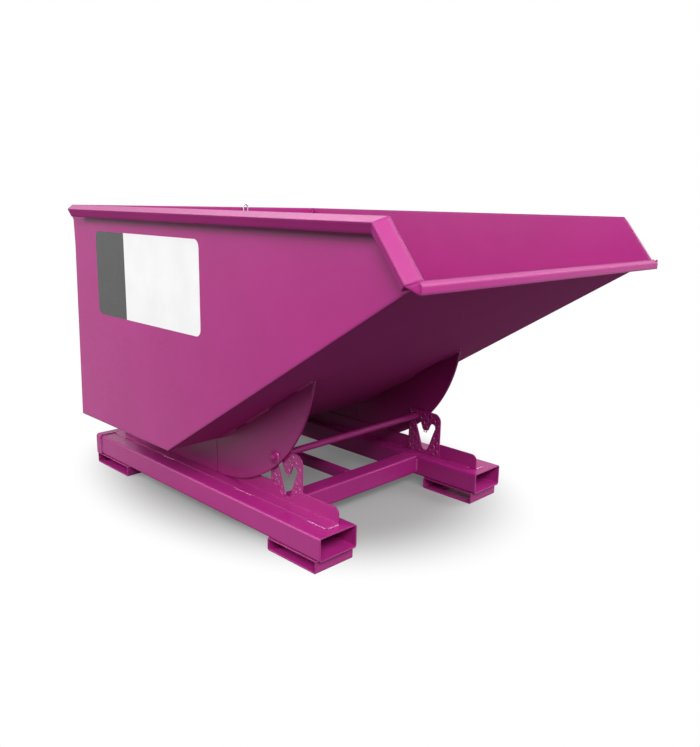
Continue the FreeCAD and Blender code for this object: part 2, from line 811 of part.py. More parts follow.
def make_back_plate():
    return plate("back_plate", less("side_inside"), "side_inside * 2", [
        ("floor_back_y", "floor_top"),
        ("bend_y", "back_bend_height"),
        ("back_top_y", "crest_height"),
        ("back_top_y - back_wall", "crest_height"),
        ("bend_y - back_wall", "back_bend_height"),
        ("floor_back_y - back_wall", "floor_top"),
    ])


def rim_section(side, level):
    """Corners of the folded rim, outwards along its sloped face and back under it."""
    corners = [
        ("body_half_width", level),
        ("rim_edge_x", minus(level, "rim_droop")),
        ("rim_foot_x", minus(level, "rim_foot_down")),
        ("rim_foot_x - rim_wall * cos(rim_lean)", minus(level, "rim_foot_down - rim_wall * sin(rim_lean)")),
        ("rim_bend_x", minus(level, "rim_bend_down")),
        ("body_half_width", minus(level, "rim_wall / cos(rim_slant)")),
    ]
    return [(at_side(side, across), up) for across, up in corners]


def make_side_rim(side):
    """Rim swept along the top of the side plate and down the edge of the mouth, mitred at the corner."""
    body = new_body("side_rim_" + side)
    route = new_sketch(body, body.Name + "_route", "YZ_Plane", at_side(side, "body_half_width"))
    stations = [("back_top_y", "crest_height"), ("crest_y", "crest_height"), ("lip_y", "lip_top_z")]
    points = [FreeCAD.Vector(value(along), value(up), 0) for along, up in stations]
    for index in range(len(stations) - 1):
        route.addGeometry(Part.LineSegment(points[index], points[index + 1]))
        hold(route, "DistanceX", index, 1, stations[index][0])
        hold(route, "DistanceY", index, 1, stations[index][1])
    route.addConstraint(Sketcher.Constraint("Coincident", 0, 2, 1, 1))
    hold(route, "DistanceX", 1, 2, stations[-1][0])
    hold(route, "DistanceY", 1, 2, stations[-1][1])
    section = new_sketch(body, body.Name + "_section", "XZ_Plane", less("back_top_y"))
    draw(section, rim_section(side, "crest_height"))
    sweep = body.newObject("PartDesign::AdditivePipe", body.Name + "_sweep")
    sweep.Profile = section
    sweep.Spine = (route, ["Edge1", "Edge2"])
    sweep.Transition = "Right corner"
    start = "body_half_width - overrun"
    finish = "rim_edge_x + overrun"
    skew = "rim_skew / rim_out"
    cut_through(body, "skew_cut", "XY_Plane", lambda sketch: draw(sketch, [
        (at_side(side, start), "back_top_y + overrun * " + skew),
        (at_side(side, finish), "back_top_y - rim_skew - overrun * " + skew),
        (at_side(side, finish), "back_top_y + rim_skew"),
        (at_side(side, start), "back_top_y + rim_skew"),
    ]))
    foot_z = "crest_height - rim_foot_down"
    below = minus(foot_z, "overrun")
    cut_through(body, "return_cut", "YZ_Plane", lambda sketch: draw(sketch, [
        ("back_top_y - rim_skew", "crest_height - rim_droop"),
        ("return_end_y", foot_z),
        ("return_end_y", below),
        ("back_top_y + overrun", below),
        ("back_top_y + overrun", "crest_height - rim_droop"),
    ]))
    return body


def make_rim_end_plate(side):
    """Plate let into the front end of a side rim, square to the edge of the mouth."""
    body = new_body("rim_end_plate_" + side)
    sketch = new_sketch(body, body.Name + "_outline", "XZ_Plane", less("rim_end_wall"))
    corners = rim_section(side, "0")[3:]
    corners.append((at_side(side, "body_half_width"), corners[0][1]))
    draw(sketch, corners)
    pad(body, sketch, "rim_end_wall")
    body.Placement = FreeCAD.Placement(FreeCAD.Vector(), FreeCAD.Rotation(FreeCAD.Vector(1, 0, 0), 1))
    body.setExpression("Placement.Base.y", bound("lip_y"))
    body.setExpression("Placement.Base.z", bound("lip_top_z"))
    body.setExpression("Placement.Rotation.Angle", bound("mouth_angle"))
    return body


def make_lip_end_plate(side):
    """Upright three-cornered plate from the end of the lip to the outer corner of the side rim."""
    body = new_body("lip_end_plate_" + side)
    sketch = new_sketch(body, body.Name + "_outline", "XZ_Plane", less("lip_end_wall"))
    draw(sketch, [
        (at_side(side, "lip_end_start"), "lip_low_z"),
        (at_side(side, "lip_end_run"), "lip_end_tip_z"),
        (at_side(side, "lip_end_start"), "lip_top_z"),
    ])
    pad(body, sketch, "lip_end_wall")
    body.Placement = FreeCAD.Placement(FreeCAD.Vector(), FreeCAD.Rotation(FreeCAD.Vector(0, 0, 1), 1))
    body.setExpression("Placement.Base.x", bound(at_side(side, "lip_half_length")))
    body.setExpression("Placement.Base.y", bound("lip_front_y"))
    body.setExpression("Placement.Rotation.Angle", bound(at_side(side, "lip_end_turn")))
    return body


def make_front_lip():
    return plate("front_lip", less("lip_half_length"), "lip_half_length * 2", [
        ("lip_y", "lip_top_z"),
        ("lip_arc_y", "lip_arc_z"),
        ("lip_front_y", "lip_bend_z - lip_tangent", "lip_bend", 1),
        ("lip_front_y", "lip_low_z"),
        ("lip_front_y + lip_wall", "lip_low_z"),
        ("lip_front_y + lip_wall", "lip_bend_z - lip_tangent"),
        ("lip_arc_y + lip_wall * sin(lip_slant)", "lip_arc_z - lip_wall * cos(lip_slant)",
         "lip_bend - lip_wall", -1),
        ("lip_y", "lip_top_z - lip_wall / cos(lip_slant)"),
    ])


def make_rear_rim_strip():
    """Sloped strip behind the top of the back."""
    return plate("rear_rim_strip", less("rear_half_length"), "rear_half_length * 2", [
        ("back_top_y", "crest_height"),
        ("rear_edge_y", "rear_edge_z"),
        ("rear_edge_y - rear_rim_wall * sin(rear_slant)", "rear_edge_z - rear_rim_wall * cos(rear_slant)"),
        ("back_top_y", "rear_under_z"),
    ])


def make_rear_rim_flare():
    return plate("rear_rim_flare", less("rear_half_length"), "rear_half_length * 2", [
        ("flare_y - flare_radius", "flare_foot_height"),
        ("flare_y - flare_back * flare_ratio", "flare_foot_height + flare_up * flare_ratio",
         "flare_radius", -1),
        ("flare_y - flare_back", "flare_foot_height + flare_up"),
        ("flare_y - flare_outer", "flare_foot_height", "flare_outer", 1),
    ])


def make_rocker(side):
    return side_plate_of(side, "rocker", "rocker_inside", "rocker_wall", [
        ("joint_y", "rocker_low"),
        ("contact_y", "rocker_low"),
        ("rocker_tip_y", "rocker_tip_z", "rocker_edge_radius", -1),
        ("fold_y", "floor_height"),
        ("joint_y", "floor_height"),
    ], [("bar_y", "bar_z", "bar_radius")])


def make_runner(side):
    end_y = "floor_back_y - runner_setback"
    return side_plate_of(side, "runner", "rocker_inside", "rocker_wall", [
        ("joint_y", "rocker_low"),
        (end_y, "rocker_low"),
        (end_y, "floor_height"),
        ("joint_y", "floor_height"),
    ])


def make_cross_bar():
    body = new_body("cross_bar")
    sketch = new_sketch(body, "cross_bar_section", "YZ_Plane", less("bar_half_length"))
    draw_circle(sketch, "bar_y", "bar_z", "bar_radius")
    length = pad(body, sketch, "bar_half_length * 2")
    doc.recompute()
    ends = body.newObject("PartDesign::Chamfer", "cross_bar_ends")
    rounds = [
        "Edge%d" % (index + 1)
        for index, edge in enumerate(length.Shape.Edges)
        if edge.isClosed() and isinstance(edge.Curve, Part.Circle)
    ]
    ends.Base = (length, rounds)
    ends.setExpression("Size", bound("bar_chamfer"))
    return body


def make_bar_boss(side):
    """Ring that keeps the bar from shifting, welded to the rocker's outer face."""
    low = on_side(side, "rocker_outside", "rocker_outside + boss_wall")[0]
    body = new_body("bar_boss_" + side)
    sketch = new_sketch(body, body.Name + "_section", "YZ_Plane", low)
    draw_circle(sketch, "bar_y", "bar_z", "boss_radius")
    draw_circle(sketch, "bar_y", "bar_z", "bar_radius")
    pad(body, sketch, "boss_wall")
    return body


def make_striker_lug(side):
    return side_plate_of(side, "striker_lug", "striker_half_gap", "striker_lug_wall", [
        ("striker_y - striker_lug_radius", "floor_height"),
        ("striker_y - striker_lug_radius", "striker_z"),
        ("striker_y", "striker_z - striker_lug_radius", "striker_lug_radius", 1),
        ("striker_y + striker_lug_radius", "striker_z", "striker_lug_radius", 1),
        ("striker_y + striker_lug_radius", "floor_height"),
    ], [("striker_y", "striker_z", "striker_radius")])


def make_striker_bar():
    low = less("striker_half_length")
    return rod("striker_bar", low, "striker_half_length * 2", "striker_y", "striker_z", "striker_radius")


def make_cable_eye():
    """Bent rod of eight flats inside the back, on which the release cable is hung."""
    body = new_body("cable_eye")
    route = new_sketch(body, "cable_eye_route", "XZ_Plane", less("eye_y"))
    left_leg = "eye_across - eye_half_width"
    stations = [(left_leg, "eye_low_z")]
    for step in range(ARCH_RUNS + 1):
        across, up = polar("eye_half_width", "%g" % (180 - 180 * step / ARCH_RUNS))
        stations.append((plus("eye_across", across), plus("eye_arch_z", up)))
    stations.append(("eye_across + eye_half_width", "eye_low_z"))
    points = [FreeCAD.Vector(value(across), value(up), 0) for across, up in stations]
    runs = len(stations) - 1
    for index in range(runs):
        route.addGeometry(Part.LineSegment(points[index], points[index + 1]))
        hold(route, "DistanceX", index, 1, stations[index][0])
        hold(route, "DistanceY", index, 1, stations[index][1])
        if index:
            route.addConstraint(Sketcher.Constraint("Coincident", index - 1, 2, index, 1))
    hold(route, "DistanceX", runs - 1, 2, stations[-1][0])
    hold(route, "DistanceY", runs - 1, 2, stations[-1][1])
    section = new_sketch(body, "cable_eye_section", "XY_Plane", "eye_low_z")
    half_flat = 180 / ROD_FLATS
    corners = regular_corners("eye_rod / cos(%g)" % half_flat, ROD_FLATS, half_flat)
    draw(section, [(plus(left_leg, across), plus("eye_y", along)) for across, along in corners])
    sweep = body.newObject("PartDesign::AdditivePipe", "cable_eye_sweep")
    sweep.Profile = section
    sweep.Spine = (route, ["Edge%d" % (index + 1) for index in range(runs)])
    sweep.Transition = "Right corner"
    return body


for side in ("left", "right"):
    keep(make_fork_tube(side))
    keep(make_collar(side))
    keep(make_foot(side, "front", "contact_y - tube_ahead + front_foot_setback", "front_foot_length"))
    keep(make_foot(side, "rear", "contact_y + tube_behind - rear_foot_length", "rear_foot_length"))
    keep(make_guide_angle(side))
    keep(make_slot_bracket(side))
    keep(make_latch_ear(side))
keep(make_cross_member("front_cross_member", "front_member_y"))
keep(make_cross_member("rear_cross_member", "rear_member_y"))
keep(make_centre_spine())
keep(make_latch_pin())
keep(make_latch_pin_nut())
keep(make_latch_hook())
keep(make_release_lever())
for side in ("left", "right"):
    keep(make_roll_plug(side))
    keep(make_side_plate(side))
    keep(make_side_rim(side))
    keep(make_rim_end_plate(side))
    keep(make_lip_end_plate(side))
    keep(make_rocker(side))
    keep(make_runner(side))
    keep(make_bar_boss(side))
    keep(make_striker_lug(side))
keep(make_floor_plate())
keep(make_slope_plate())
keep(make_back_plate())
keep(make_front_lip())
keep(make_rear_rim_strip())
keep(make_rear_rim_flare())
keep(make_cross_bar())
keep(make_striker_bar())
keep(make_cable_eye())

doc.recompute()
for item in doc.Objects:
    if "Invalid" in item.State or "Error" in item.State:
        raise RuntimeError("%s failed: %s" % (item.Label, item.State))
for piece in pieces:
    if piece.Shape.isNull() or not piece.Shape.isValid():
        raise RuntimeError("%s has no valid shape" % piece.Label)

os.makedirs("parts", exist_ok=True)
for piece in pieces:
    piece.Shape.exportStep(os.path.join("parts", piece.Label + ".step"))
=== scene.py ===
import json
import math
import random

import bmesh
import bpy
from mathutils import Matrix, Vector


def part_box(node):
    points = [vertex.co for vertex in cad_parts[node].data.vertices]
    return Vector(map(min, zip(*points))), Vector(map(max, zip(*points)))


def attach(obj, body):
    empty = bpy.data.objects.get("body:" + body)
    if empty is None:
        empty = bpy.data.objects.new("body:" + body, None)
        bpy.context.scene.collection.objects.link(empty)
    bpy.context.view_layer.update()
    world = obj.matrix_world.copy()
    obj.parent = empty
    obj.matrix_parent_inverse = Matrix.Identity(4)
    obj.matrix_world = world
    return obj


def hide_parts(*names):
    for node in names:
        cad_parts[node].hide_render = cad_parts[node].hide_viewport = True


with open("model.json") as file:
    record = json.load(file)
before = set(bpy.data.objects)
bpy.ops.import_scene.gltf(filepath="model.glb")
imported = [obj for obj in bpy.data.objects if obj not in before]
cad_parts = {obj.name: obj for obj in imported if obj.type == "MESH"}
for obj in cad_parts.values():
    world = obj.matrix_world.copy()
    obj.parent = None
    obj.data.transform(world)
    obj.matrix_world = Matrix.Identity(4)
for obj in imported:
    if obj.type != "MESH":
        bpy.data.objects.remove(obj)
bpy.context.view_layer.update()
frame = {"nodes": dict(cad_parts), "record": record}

# Forklift tipping hopper in semi-gloss magenta paint, in metres, with its mouth towards -Y
CONTACT_Y = 0.231
TRACK_Z = 0.160
TUBE_TOP = 0.155
GUIDE_TOP = 0.225
UP = (0, 0, 1)
DOWN = (0, 0, -1)
AHEAD = (0, -1, 0)
BEHIND = (0, 1, 0)


def along(y):
    """Place in Y of something given from the line where the rockers touch the track at rest."""
    return CONTACT_Y + y


# Sockets of a Mix node by their place, because its kinds of mix share their names
MIX_FACTOR = 0
MIX_VALUES = (2, 3)
MIX_COLOURS = (6, 7)
MIX_COLOUR_RESULT = 2

# Looks of the materials: scales in features per metre, depths and radii in metres
NOISE_MIDDLE = (0.3, 0.7)
EDGE_SAMPLES = 4
LOOKS_DOWN_FROM = -0.10
LOOKS_DOWN_FULLY = -0.55
COAT_DEEP = (0.355, 0.0165, 0.182)
COAT_LIGHT = (0.390, 0.0185, 0.202)
COAT_SCALE = 3.5
SATIN_SCALE = 55
PEEL_SCALE = 420
PEEL_DEPTH = 0.00012
WAVE_SCALE = 5
WAVE_DEPTH = 0.0012
PAINT_IOR = 1.5
UNDERSIDE_ROUGHNESS = 0.92
ZINC_DARK = (0.66, 0.67, 0.68)
ZINC_LIGHT = (0.80, 0.81, 0.82)
CRYSTAL_SCALE = 260
ZINC_SATIN_SCALE = 300
ZINC_ROUGHNESS = (0.18, 0.34)
ZINC_GRAIN_SCALE = 900
ZINC_GRAIN_DEPTH = 0.0001
ZINC_EDGE = 0.0006
FILM_TONE_SCALE = 9
FILM_SATIN_SCALE = 70
FILM_ROUGHNESS = (0.38, 0.48)
FILM_WAVE_DEPTH = 0.0010
FILM_GRAIN_SCALE = 600
FILM_GRAIN_DEPTH = 0.00004


def find_node(tree, kind):
    return next(node for node in tree.nodes if node.type == kind)


def new_material(name):
    """Material, its node tree, its shader and the coordinates of the object that wears it."""
    material = bpy.data.materials.new(name)
    material.use_nodes = True
    tree = material.node_tree
    coords = tree.nodes.new("ShaderNodeTexCoord")
    return material, tree, find_node(tree, "BSDF_PRINCIPLED"), coords.outputs["Object"]


def noise(tree, coords, scale, detail):
    texture = tree.nodes.new("ShaderNodeTexNoise")
    texture.inputs["Scale"].default_value = scale
    texture.inputs["Detail"].default_value = detail
    tree.links.new(coords, texture.inputs["Vector"])
    return texture.outputs["Fac"]


def between(tree, factor, first, second):
    """Value that runs from first to second as a noise runs over its middle range."""
    span = tree.nodes.new("ShaderNodeMapRange")
    span.inputs["From Min"].default_value = NOISE_MIDDLE[0]
    span.inputs["From Max"].default_value = NOISE_MIDDLE[1]
    span.inputs["To Min"].default_value = first
    span.inputs["To Max"].default_value = second
    tree.links.new(factor, span.inputs["Value"])
    return span.outputs["Result"]


def mixed(tree, factor, first, second):
    """Colour between two others."""
    mix = tree.nodes.new("ShaderNodeMix")
    mix.data_type = "RGBA"
    mix.inputs[MIX_COLOURS[0]].default_value = (*first, 1)
    mix.inputs[MIX_COLOURS[1]].default_value = (*second, 1)
    tree.links.new(factor, mix.inputs[MIX_FACTOR])
    return mix.outputs[MIX_COLOUR_RESULT]


def bump(tree, shader, layers, edge=0):
    """Stack bumps of given height and depth over edges softened by a small radius."""
    normal = None
    if edge:
        soft = tree.nodes.new("ShaderNodeBevel")
        soft.samples = EDGE_SAMPLES
        soft.inputs["Radius"].default_value = edge
        normal = soft.outputs["Normal"]
    for height, depth in layers:
        node = tree.nodes.new("ShaderNodeBump")
        node.inputs["Distance"].default_value = depth
        tree.links.new(height, node.inputs["Height"])
        if normal:
            tree.links.new(normal, node.inputs["Normal"])
        normal = node.outputs["Normal"]
    tree.links.new(normal, shader.inputs["Normal"])


def underside(tree, coords):
    """0 on faces that look up or sideways, and up to 1 on those that look down at rest."""
    axes = tree.nodes.new("ShaderNodeSeparateXYZ")
    tree.links.new(coords.node.outputs["Normal"], axes.inputs[0])
    span = tree.nodes.new("ShaderNodeMapRange")
    span.inputs["From Min"].default_value = LOOKS_DOWN_FROM
    span.inputs["From Max"].default_value = LOOKS_DOWN_FULLY
    tree.links.new(axes.outputs["Z"], span.inputs["Value"])
    return span.outputs["Result"]


def paint(name, edge=0.012, smoothest=0.34, roughest=0.42, gloss=0.32):
    """Semi-gloss spray paint: orange peel, slightly wavy sheet, uneven coats, dull undersides."""
    material, tree, shader, coords = new_material(name)
    coat = between(tree, noise(tree, coords, COAT_SCALE, detail=5), 0, 1)
    tree.links.new(mixed(tree, coat, COAT_DEEP, COAT_LIGHT), shader.inputs["Base Color"])
    satin = between(tree, noise(tree, coords, SATIN_SCALE, detail=4), smoothest, roughest)
    rough = tree.nodes.new("ShaderNodeMix")
    rough.inputs[MIX_VALUES[1]].default_value = UNDERSIDE_ROUGHNESS
    tree.links.new(underside(tree, coords), rough.inputs[MIX_FACTOR])
    tree.links.new(satin, rough.inputs[MIX_VALUES[0]])
    tree.links.new(rough.outputs[0], shader.inputs["Roughness"])
    shader.inputs["IOR"].default_value = PAINT_IOR
    shader.inputs["Specular IOR Level"].default_value = gloss
    peel = noise(tree, coords, PEEL_SCALE, detail=2)
    wave = noise(tree, coords, WAVE_SCALE, detail=1)
    bump(tree, shader, [(wave, WAVE_DEPTH), (peel, PEEL_DEPTH)], edge)
    return material


def zinc():
    """Galvanised steel with faint crystals."""
    material, tree, shader, coords = new_material("galvanised_steel")
    crystals = tree.nodes.new("ShaderNodeTexVoronoi")
    crystals.inputs["Scale"].default_value = CRYSTAL_SCALE
    tree.links.new(coords, crystals.inputs["Vector"])
    tone = tree.nodes.new("ShaderNodeSeparateColor")
    tree.links.new(crystals.outputs["Color"], tone.inputs["Color"])
    tree.links.new(mixed(tree, tone.outputs[0], ZINC_DARK, ZINC_LIGHT), shader.inputs["Base Color"])
    satin = between(tree, noise(tree, coords, ZINC_SATIN_SCALE, detail=4), *ZINC_ROUGHNESS)
    tree.links.new(satin, shader.inputs["Roughness"])
    shader.inputs["Metallic"].default_value = 1
    grain = noise(tree, coords, ZINC_GRAIN_SCALE, detail=3)
    bump(tree, shader, [(grain, ZINC_GRAIN_DEPTH)], ZINC_EDGE)
    return material


def vinyl(name, dark, light):
    """Satin label film with a faint grain."""
    material, tree, shader, coords = new_material(name)
    tone = between(tree, noise(tree, coords, FILM_TONE_SCALE, detail=4), 0, 1)
    tree.links.new(mixed(tree, tone, dark, light), shader.inputs["Base Color"])
    satin = between(tree, noise(tree, coords, FILM_SATIN_SCALE, detail=3), *FILM_ROUGHNESS)
    tree.links.new(satin, shader.inputs["Roughness"])
    wave = noise(tree, coords, WAVE_SCALE, detail=1)
    grain = noise(tree, coords, FILM_GRAIN_SCALE, detail=2)
    bump(tree, shader, [(wave, FILM_WAVE_DEPTH), (grain, FILM_GRAIN_DEPTH)])
    return material


BODY_PAINT = paint("magenta_body_paint")
FRAME_PAINT = paint("magenta_frame_paint", edge=0.006)
TREAD_PAINT = paint("magenta_tread_paint", edge=0.0012, smoothest=0.18, roughest=0.26)
LOCK_PAINT = paint("magenta_lock_paint", edge=0.0020)
RAISED_PAINT = paint("magenta_raised_paint", edge=0, smoothest=0.16, roughest=0.24, gloss=0.9)
ZINC = zinc()
FINISHES = {
    "painted_body": BODY_PAINT,
    "painted_frame": FRAME_PAINT,
    "painted_tread_plate": TREAD_PAINT,
    "painted_lock": LOCK_PAINT,
    "galvanised_steel": ZINC,
}
for subpart in frame["record"]["subparts"]:
    node = frame["nodes"][subpart["node"]]
    node.data.materials.clear()
    node.data.materials.append(FINISHES[subpart["material_slot"]])


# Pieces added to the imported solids
def add_piece(name, shell, body, material, smooth=True):
    mesh = bpy.data.meshes.new(name)
    mesh.from_pydata([tuple(vert) for vert in shell.verts], [], shell.faces)
    made = bmesh.new()
    made.from_mesh(mesh)
    bmesh.ops.recalc_face_normals(made, faces=made.faces)
    made.to_mesh(mesh)
    made.free()
    for face in mesh.polygons:
        face.use_smooth = smooth
    piece = bpy.data.objects.new(name, mesh)
    bpy.context.scene.collection.objects.link(piece)
    mesh.materials.append(material)
    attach(piece, body)
    return piece


class Shell:
    """Collects strips of rings, closed or capped, into the vertices and faces of one piece."""

    def __init__(self):
        self.verts = []
        self.faces = []

    def add_rings(self, rings, closed=False):
        count = len(rings[0])
        first = len(self.verts)
        for ring in rings:
            self.verts.extend(ring)
        spans = len(rings) if closed else len(rings) - 1
        for step in range(spans):
            near = first + step * count
            far = first + (step + 1) % len(rings) * count
            for index in range(count):
                after = (index + 1) % count
                self.faces.append((near + index, near + after, far + after, far + index))
        if not closed:
            self.faces.append(tuple(range(first, first + count)))
            last = first + (len(rings) - 1) * count
            self.faces.append(tuple(range(last, last + count)))


# Weld beads
WELD_POINTS = 6
WELD_SINK = 0.0006
WELD_FLATNESS = 0.82
RIPPLE_STEPS = 3
RIPPLE_SIZES = (0.90, 1.0, 0.96)
RIPPLE_CHANCE = (0.9, 1.08)
RIPPLE_LAG = 0.35
END_SIZES = (0.45, 0.8, 0.95)
SEAM_END = 0.006
SHORT_SEAM_END = 0.004
CIRCLE_STEPS = 48
SAME_PLACE = 1e-6
LEAST_LENGTH = 1e-9


def weld_ring(point, side, rise, forward, leg, lag):
    """Section of a fillet between two plates; its middle lags behind, as a weld's ripples do."""
    ring = [point - (side + rise) * WELD_SINK]
    for index in range(WELD_POINTS + 1):
        turn = math.pi / 2 * index / WELD_POINTS
        swell = WELD_FLATNESS + (1 - WELD_FLATNESS) * abs(math.cos(2 * turn))
        side_sink = WELD_SINK if index == WELD_POINTS else 0
        rise_sink = WELD_SINK if index == 0 else 0
        to_side = side * (leg * math.cos(turn) * swell - side_sink)
        to_rise = rise * (leg * math.sin(turn) * swell - rise_sink)
        ring.append(point + to_side + to_rise - forward * (lag * math.sin(2 * turn)))
    return ring


def weld_path(shell, stations, leg, pitch, seed, closed):
    """Rippled bead along stations of a point and the directions along both plates."""
    chance = random.Random(seed)
    lengths = [0.0]
    for before, after in zip(stations, stations[1:]):
        lengths.append(lengths[-1] + (after[0] - before[0]).length)
    total = lengths[-1]
    steps = max(2, round(total / pitch)) * RIPPLE_STEPS
    rings = []
    span = 0
    for step in range(steps if closed else steps + 1):
        place = total * step / steps
        while span < len(lengths) - 2 and place > lengths[span + 1]:
            span += 1
        length = max(lengths[span + 1] - lengths[span], LEAST_LENGTH)
        share = (place - lengths[span]) / length
        low, high = stations[span], stations[span + 1]
        point = low[0].lerp(high[0], share)
        side = low[1].lerp(high[1], share).normalized()
        rise = low[2].lerp(high[2], share).normalized()
        forward = (high[0] - low[0]).normalized()
        phase = step % RIPPLE_STEPS
        if phase == 0:
            swell = chance.uniform(*RIPPLE_CHANCE)
        size = leg * swell * RIPPLE_SIZES[phase]
        end = min(step, steps - step)
        if not closed and end < len(END_SIZES):
            size *= END_SIZES[end]
        rings.append(weld_ring(point, side, rise, forward, size, pitch * RIPPLE_LAG))
    shell.add_rings(rings, closed)


def straight(start, end, side, rise):
    side = Vector(side)
    rise = Vector(rise)
    return [(Vector(start), side, rise), (Vector(end), side, rise)]


def along_x(ends, y, z, side, rise):
    return straight((ends[0], y, z), (ends[1], y, z), side, rise)


def along_y(x, ends, z, side, rise):
    return straight((x, ends[0], z), (x, ends[1], z), side, rise)


def along_z(x, y, ends, side, rise):
    return straight((x, y, ends[0]), (x, y, ends[1]), side, rise)


def circle(x, y, z, radius, outward):
    """Stations round a bar or ring on a plate square to X; the plate's face looks along outward."""
    stations = []
    for index in range(CIRCLE_STEPS + 1):
        turn = math.tau * index / CIRCLE_STEPS
        radial = Vector((0, math.cos(turn), math.sin(turn)))
        stations.append((Vector((x, y, z)) + radial * radius, radial, Vector((outward, 0, 0))))
    return stations


def add_welds(name, body, runs, leg, pitch):
    shell = Shell()
    for number, run in enumerate(runs):
        closed = (run[0][0] - run[-1][0]).length < SAME_PLACE
        weld_path(shell, run, leg, pitch, name + str(number), closed)
    add_piece(name, shell, body, RAISED_PAINT)


def both_sides(make):
    """Runs for the left, where outwards is -X, and for the right."""
    return [run for sign in (-1, 1) for run in make(sign)]


def side_box(node, sign):
    """Box of the left or the right copy of a node."""
    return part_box(node + ("_left" if sign < 0 else "_right"))


def seam_outside(node, sign, end, is_top, rise):
    """Run along Y on the outer face of a node's copy, at its top or at its foot."""
    low, high = side_box(node, sign)
    x = high.x if sign > 0 else low.x
    return along_y(x, (low.y + end, high.y - end), high.z if is_top else low.z, (sign, 0, 0), rise)


# Welds of the guide angles on the tubes
LEG_EDGE = 0.523
GUIDE_INNER = 0.458
GUIDE_NOSE_Y = along(-0.767)
GUIDE_NOSE_ENDS = (GUIDE_INNER + 0.004, LEG_EDGE - 0.003)
LEG_STITCHES = [(0.763, 0.860), (0.299, 0.392), (-0.305, -0.176), (-0.762, -0.651)]
INNER_STITCHES = [
    (0.780, 0.860), (0.420, 0.520), (0.080, 0.180), (-0.300, -0.210), (-0.730, -0.600),
]


def guide_welds(sign):
    runs = []
    for x, way, stitches in ((LEG_EDGE, 1, LEG_STITCHES), (GUIDE_INNER, -1, INNER_STITCHES)):
        for start, end in stitches:
            ends = (along(start), along(end))
            runs.append(along_y(sign * x, ends, TUBE_TOP, (sign * way, 0, 0), UP))
    nose = [sign * x for x in GUIDE_NOSE_ENDS]
    runs.append(along_x(nose, GUIDE_NOSE_Y, TUBE_TOP, AHEAD, UP))
    return runs


add_welds("guide_welds", "frame", both_sides(guide_welds), leg=0.0055, pitch=0.006)

# Slot brackets and the V notches of the guide angles beside them
BRACKET_LOW, BRACKET_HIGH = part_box("slot_bracket_left")
ROCKER_RADIUS = 0.638
BAR_REACH = 0.6027
BAR_ANGLE = math.radians(41.1)
LAST_ANGLE = math.radians(76)
SLOT_HALF_WIDTH = 0.017
SLOT_MIDDLE_Y = along(-ROCKER_RADIUS * BAR_ANGLE)
NOTCH_TOP_HALF = 0.092
NOTCH_FLOOR_HALF = 0.012
NOTCH_FLOOR_Z = 0.174
NOTCH_STITCHES = ((0.16, 0.42), (0.66, 0.90))
BRACKET_REAR_SEAM_Z = (0.168, GUIDE_TOP)


def bracket_welds(sign):
    """Foot of the bracket on the tube, tacks along the V of the guide, and the rear edge."""
    inwards = (-sign, 0, 0)
    ends = (BRACKET_LOW.y + SEAM_END, BRACKET_HIGH.y - SEAM_END)
    runs = [along_y(-sign * BRACKET_HIGH.x, ends, TUBE_TOP, inwards, UP)]
    face = sign * GUIDE_INNER
    lean = Vector((0, NOTCH_TOP_HALF - NOTCH_FLOOR_HALF, GUIDE_TOP - NOTCH_FLOOR_Z))
    for way in (-1, 1):
        foot = Vector((face, SLOT_MIDDLE_Y + way * NOTCH_FLOOR_HALF, NOTCH_FLOOR_Z))
        slant = Vector((0, way * lean.y, lean.z))
        into_notch = Vector((0, -way * lean.z, lean.y)).normalized()
        for first, last in NOTCH_STITCHES:
            start, end = foot + slant * first, foot + slant * last
            runs.append(straight(start, end, (sign, 0, 0), into_notch))
    runs.append(along_z(face, BRACKET_HIGH.y, BRACKET_REAR_SEAM_Z, BEHIND, inwards))
    return runs


add_welds(
    "bracket_welds", "frame", both_sides(bracket_welds),
    leg=0.0042, pitch=0.005,
)

# Cross members and the spine between them
MEMBERS = [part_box("front_cross_member"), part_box("rear_cross_member")]
MEMBER_LOW = MEMBERS[0][0].z
TUBE_INNER = -MEMBERS[0][0].x
MEMBER_CORNER = 0.010
TUBE_CORNER = 0.014
FILL_IN = 0.001
FILL_DOWN = 0.0065
FILL_SLANT = (0.96, 0.28)
SPINE_LOW, SPINE_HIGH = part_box("centre_spine")


def member_welds(sign):
    """Upright seams of each cross member, the one below it and the fill over the tube's corner."""
    face = sign * TUBE_INNER
    inwards = (-sign, 0, 0)
    slant = (sign * FILL_SLANT[0], 0, FILL_SLANT[1])
    upright = (MEMBER_LOW + MEMBER_CORNER, TUBE_TOP - TUBE_CORNER)
    runs = []
    for low, high in MEMBERS:
        for edge, way in ((low.y, -1), (high.y, 1)):
            runs.append(along_z(face, edge, upright, inwards, (0, way, 0)))
        ends = (low.y + MEMBER_CORNER, high.y - MEMBER_CORNER)
        runs.append(along_y(face, ends, MEMBER_LOW, inwards, DOWN))
        ends = (low.y + SHORT_SEAM_END, high.y - SHORT_SEAM_END)
        runs.append(along_y(face - sign * FILL_IN, ends, TUBE_TOP - FILL_DOWN, slant, UP))
    return runs


def spine_welds():
    upright = (SPINE_LOW.z + SEAM_END, TUBE_TOP - SEAM_END)
    runs = []
    for edge, way in ((SPINE_LOW.y, 1), (SPINE_HIGH.y, -1)):
        for sign in (-1, 1):
            runs.append(along_z(sign * SPINE_HIGH.x, edge, upright, (sign, 0, 0), (0, way, 0)))
    return runs


add_welds(
    "member_welds", "frame", both_sides(member_welds) + spine_welds(),
    leg=0.006, pitch=0.006,
)

